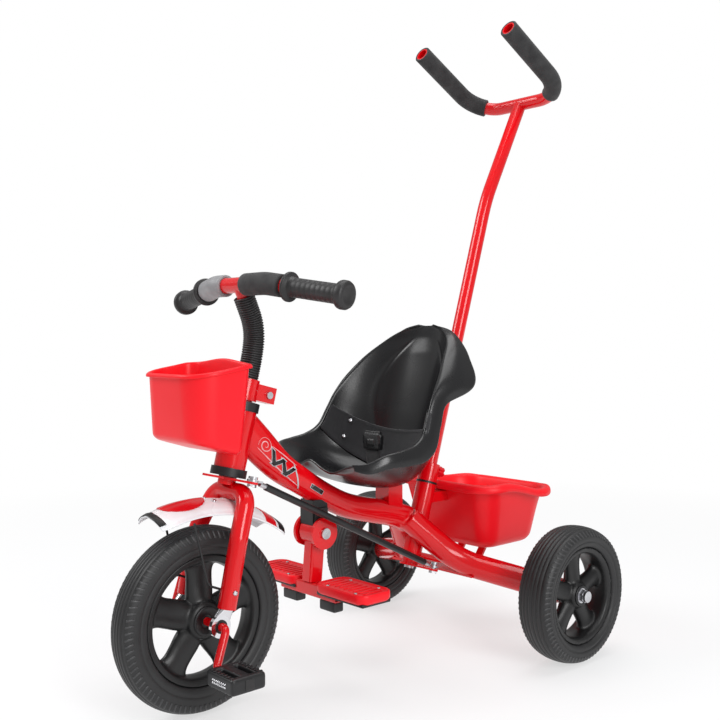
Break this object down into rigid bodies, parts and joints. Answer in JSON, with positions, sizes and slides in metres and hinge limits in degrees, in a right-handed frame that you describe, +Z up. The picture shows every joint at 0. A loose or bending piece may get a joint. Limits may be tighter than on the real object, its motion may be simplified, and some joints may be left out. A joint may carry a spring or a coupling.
{
  "type": "children's tricycle",
  "caption": "Children's pedal tricycle with moulded seat, front and rear baskets, folding footrest and a parent push handle that steers the front fork.",
  "frame": {"origin": "on the ground under the middle of the overall length and width", "axes": "+Z up, -Y forwards, +X to the rider's left"},
  "size_m": [0.504, 0.817, 1.0072],
  "materials": {
    "red_paint": "gloss",
    "black_plastic": "satin",
    "black_seat": "semi-gloss",
    "black_fabric": "woven webbing",
    "buckle_plastic": "gloss",
    "red_basket": "satin",
    "red_trim": "gloss",
    "zinc_steel": "zinc plated",
    "chrome_steel": "polished",
    "white_plastic": "gloss",
    "black_rubber": "matte",
    "black_foam": "fine foam",
    "black_steel": "satin",
    "tyre_rubber": "matte",
    "rim_plastic": "satin"
  },
  "bodies": {
    "frame": {"head_tube": "red_paint", "headset_cups": "black_plastic", "main_spine": "red_paint", "left_stay": "red_paint", "right_stay": "red_paint", "steering_housing": "red_paint", "steering_bushes": "black_plastic", "axle_tube": "red_paint", "stay_plates": "red_paint", "rear_axle": "zinc_steel", "axle_nuts": "zinc_steel", "seat_shell": "black_seat", "seat_brackets": "red_paint", "waist_belt": "black_fabric", "crotch_strap": "black_fabric", "belt_buckle": "buckle_plastic", "rear_basket": "red_basket", "basket_struts": "red_paint", "basket_hanger": "red_paint", "footrest_bracket": "black_plastic", "hinge_discs": "red_paint", "hinge_pin": "zinc_steel"},
    "footrest": {"footrest_leg": "red_paint", "footrest_bar": "red_paint", "footrest_pads": "red_trim", "footrest_rubbers": "black_rubber"},
    "fork": {"fork_legs": "red_paint", "fork_steerer": "red_paint", "fork_lever": "red_paint", "fork_bolts": "zinc_steel", "drop_outs": "chrome_steel", "axle_bushes": "black_plastic", "mudguard": "white_plastic", "mudguard_stays": "zinc_steel", "stem_tube": "red_paint", "stem_sleeve": "black_plastic", "stem_clamp": "red_paint", "handlebar": "red_paint", "handlebar_grips": "black_rubber", "handlebar_sleeves": "black_foam", "front_basket": "red_basket", "front_basket_bracket": "red_paint"},
    "front_wheel": {"front_tyre": "tyre_rubber", "front_rim": "rim_plastic", "crank_axle": "red_paint"},
    "left_pedal": {"left_pedal": "black_plastic"},
    "right_pedal": {"right_pedal": "black_plastic"},
    "steering_rod": {"steering_rod": "black_steel", "rod_ends": "zinc_steel"},
    "handle_steerer": {"handle_steerer": "red_paint", "rear_lever": "red_paint", "rear_lever_bolts": "zinc_steel"},
    "push_handle": {"push_tube": "red_paint", "push_bar": "red_paint", "push_grips": "black_foam"},
    "handle_knob": {"handle_knob": "red_trim"},
    "left_rear_wheel": {"left_rear_tyre": "tyre_rubber", "left_rear_rim": "rim_plastic"},
    "right_rear_wheel": {"right_rear_tyre": "tyre_rubber", "right_rear_rim": "rim_plastic"}
  },
  "joints": [
    {"name": "steer", "type": "hinge", "parent": "frame", "child": "fork", "pos_m": [0, -0.2331, 0.3193], "axis": [0, 0.2504, 0.9681], "range_deg": [-35, 35]},
    {"name": "front_wheel_spin", "type": "hinge", "parent": "fork", "child": "front_wheel", "pos_m": [0, -0.2835, 0.125], "axis": [1, 0, 0], "continuous": true},
    {"name": "left_pedal_spin", "type": "hinge", "parent": "front_wheel", "child": "left_pedal", "pos_m": [0.118, -0.30542, 0.08006], "axis": [1, 0, 0], "continuous": true},
    {"name": "right_pedal_spin", "type": "hinge", "parent": "front_wheel", "child": "right_pedal", "pos_m": [-0.118, -0.26158, 0.16994], "axis": [1, 0, 0], "continuous": true},
    {"name": "left_rear_wheel_spin", "type": "hinge", "parent": "frame", "child": "left_rear_wheel", "pos_m": [0.222, 0.2445, 0.104], "axis": [1, 0, 0], "continuous": true},
    {"name": "right_rear_wheel_spin", "type": "hinge", "parent": "frame", "child": "right_rear_wheel", "pos_m": [-0.222, 0.2445, 0.104], "axis": [1, 0, 0], "continuous": true},
    {"name": "handle_turn", "type": "hinge", "parent": "frame", "child": "handle_steerer", "pos_m": [0, 0.1142, 0.133], "axis": [0, 0.3007, 0.9537], "range_deg": [-36, 36]},
    {"name": "rod_swing", "type": "hinge", "parent": "fork", "child": "steering_rod", "pos_m": [0.042, -0.22359, 0.30816], "axis": [0, 0.2504, 0.9681], "range_deg": [-36, 36]},
    {"name": "handle_slide", "type": "slide", "parent": "handle_steerer", "child": "push_handle", "axis": [0, 0.3007, 0.9537], "range_m": [0, 0.05]},
    {"name": "knob_turn", "type": "hinge", "parent": "handle_steerer", "child": "handle_knob", "pos_m": [0, 0.18305, 0.27486], "axis": [0, 0.9537, -0.3007], "range_deg": [0, 180]},
    {"name": "footrest_fold", "type": "hinge", "parent": "frame", "child": "footrest", "pos_m": [0, -0.0815, 0.213], "axis": [1, 0, 0], "range_deg": [0, 42]}
  ],
  "couplings": [
    {"joint": "handle_turn", "follows": "steer", "ratio": 1},
    {"joint": "rod_swing", "follows": "steer", "ratio": -1}
  ]
}
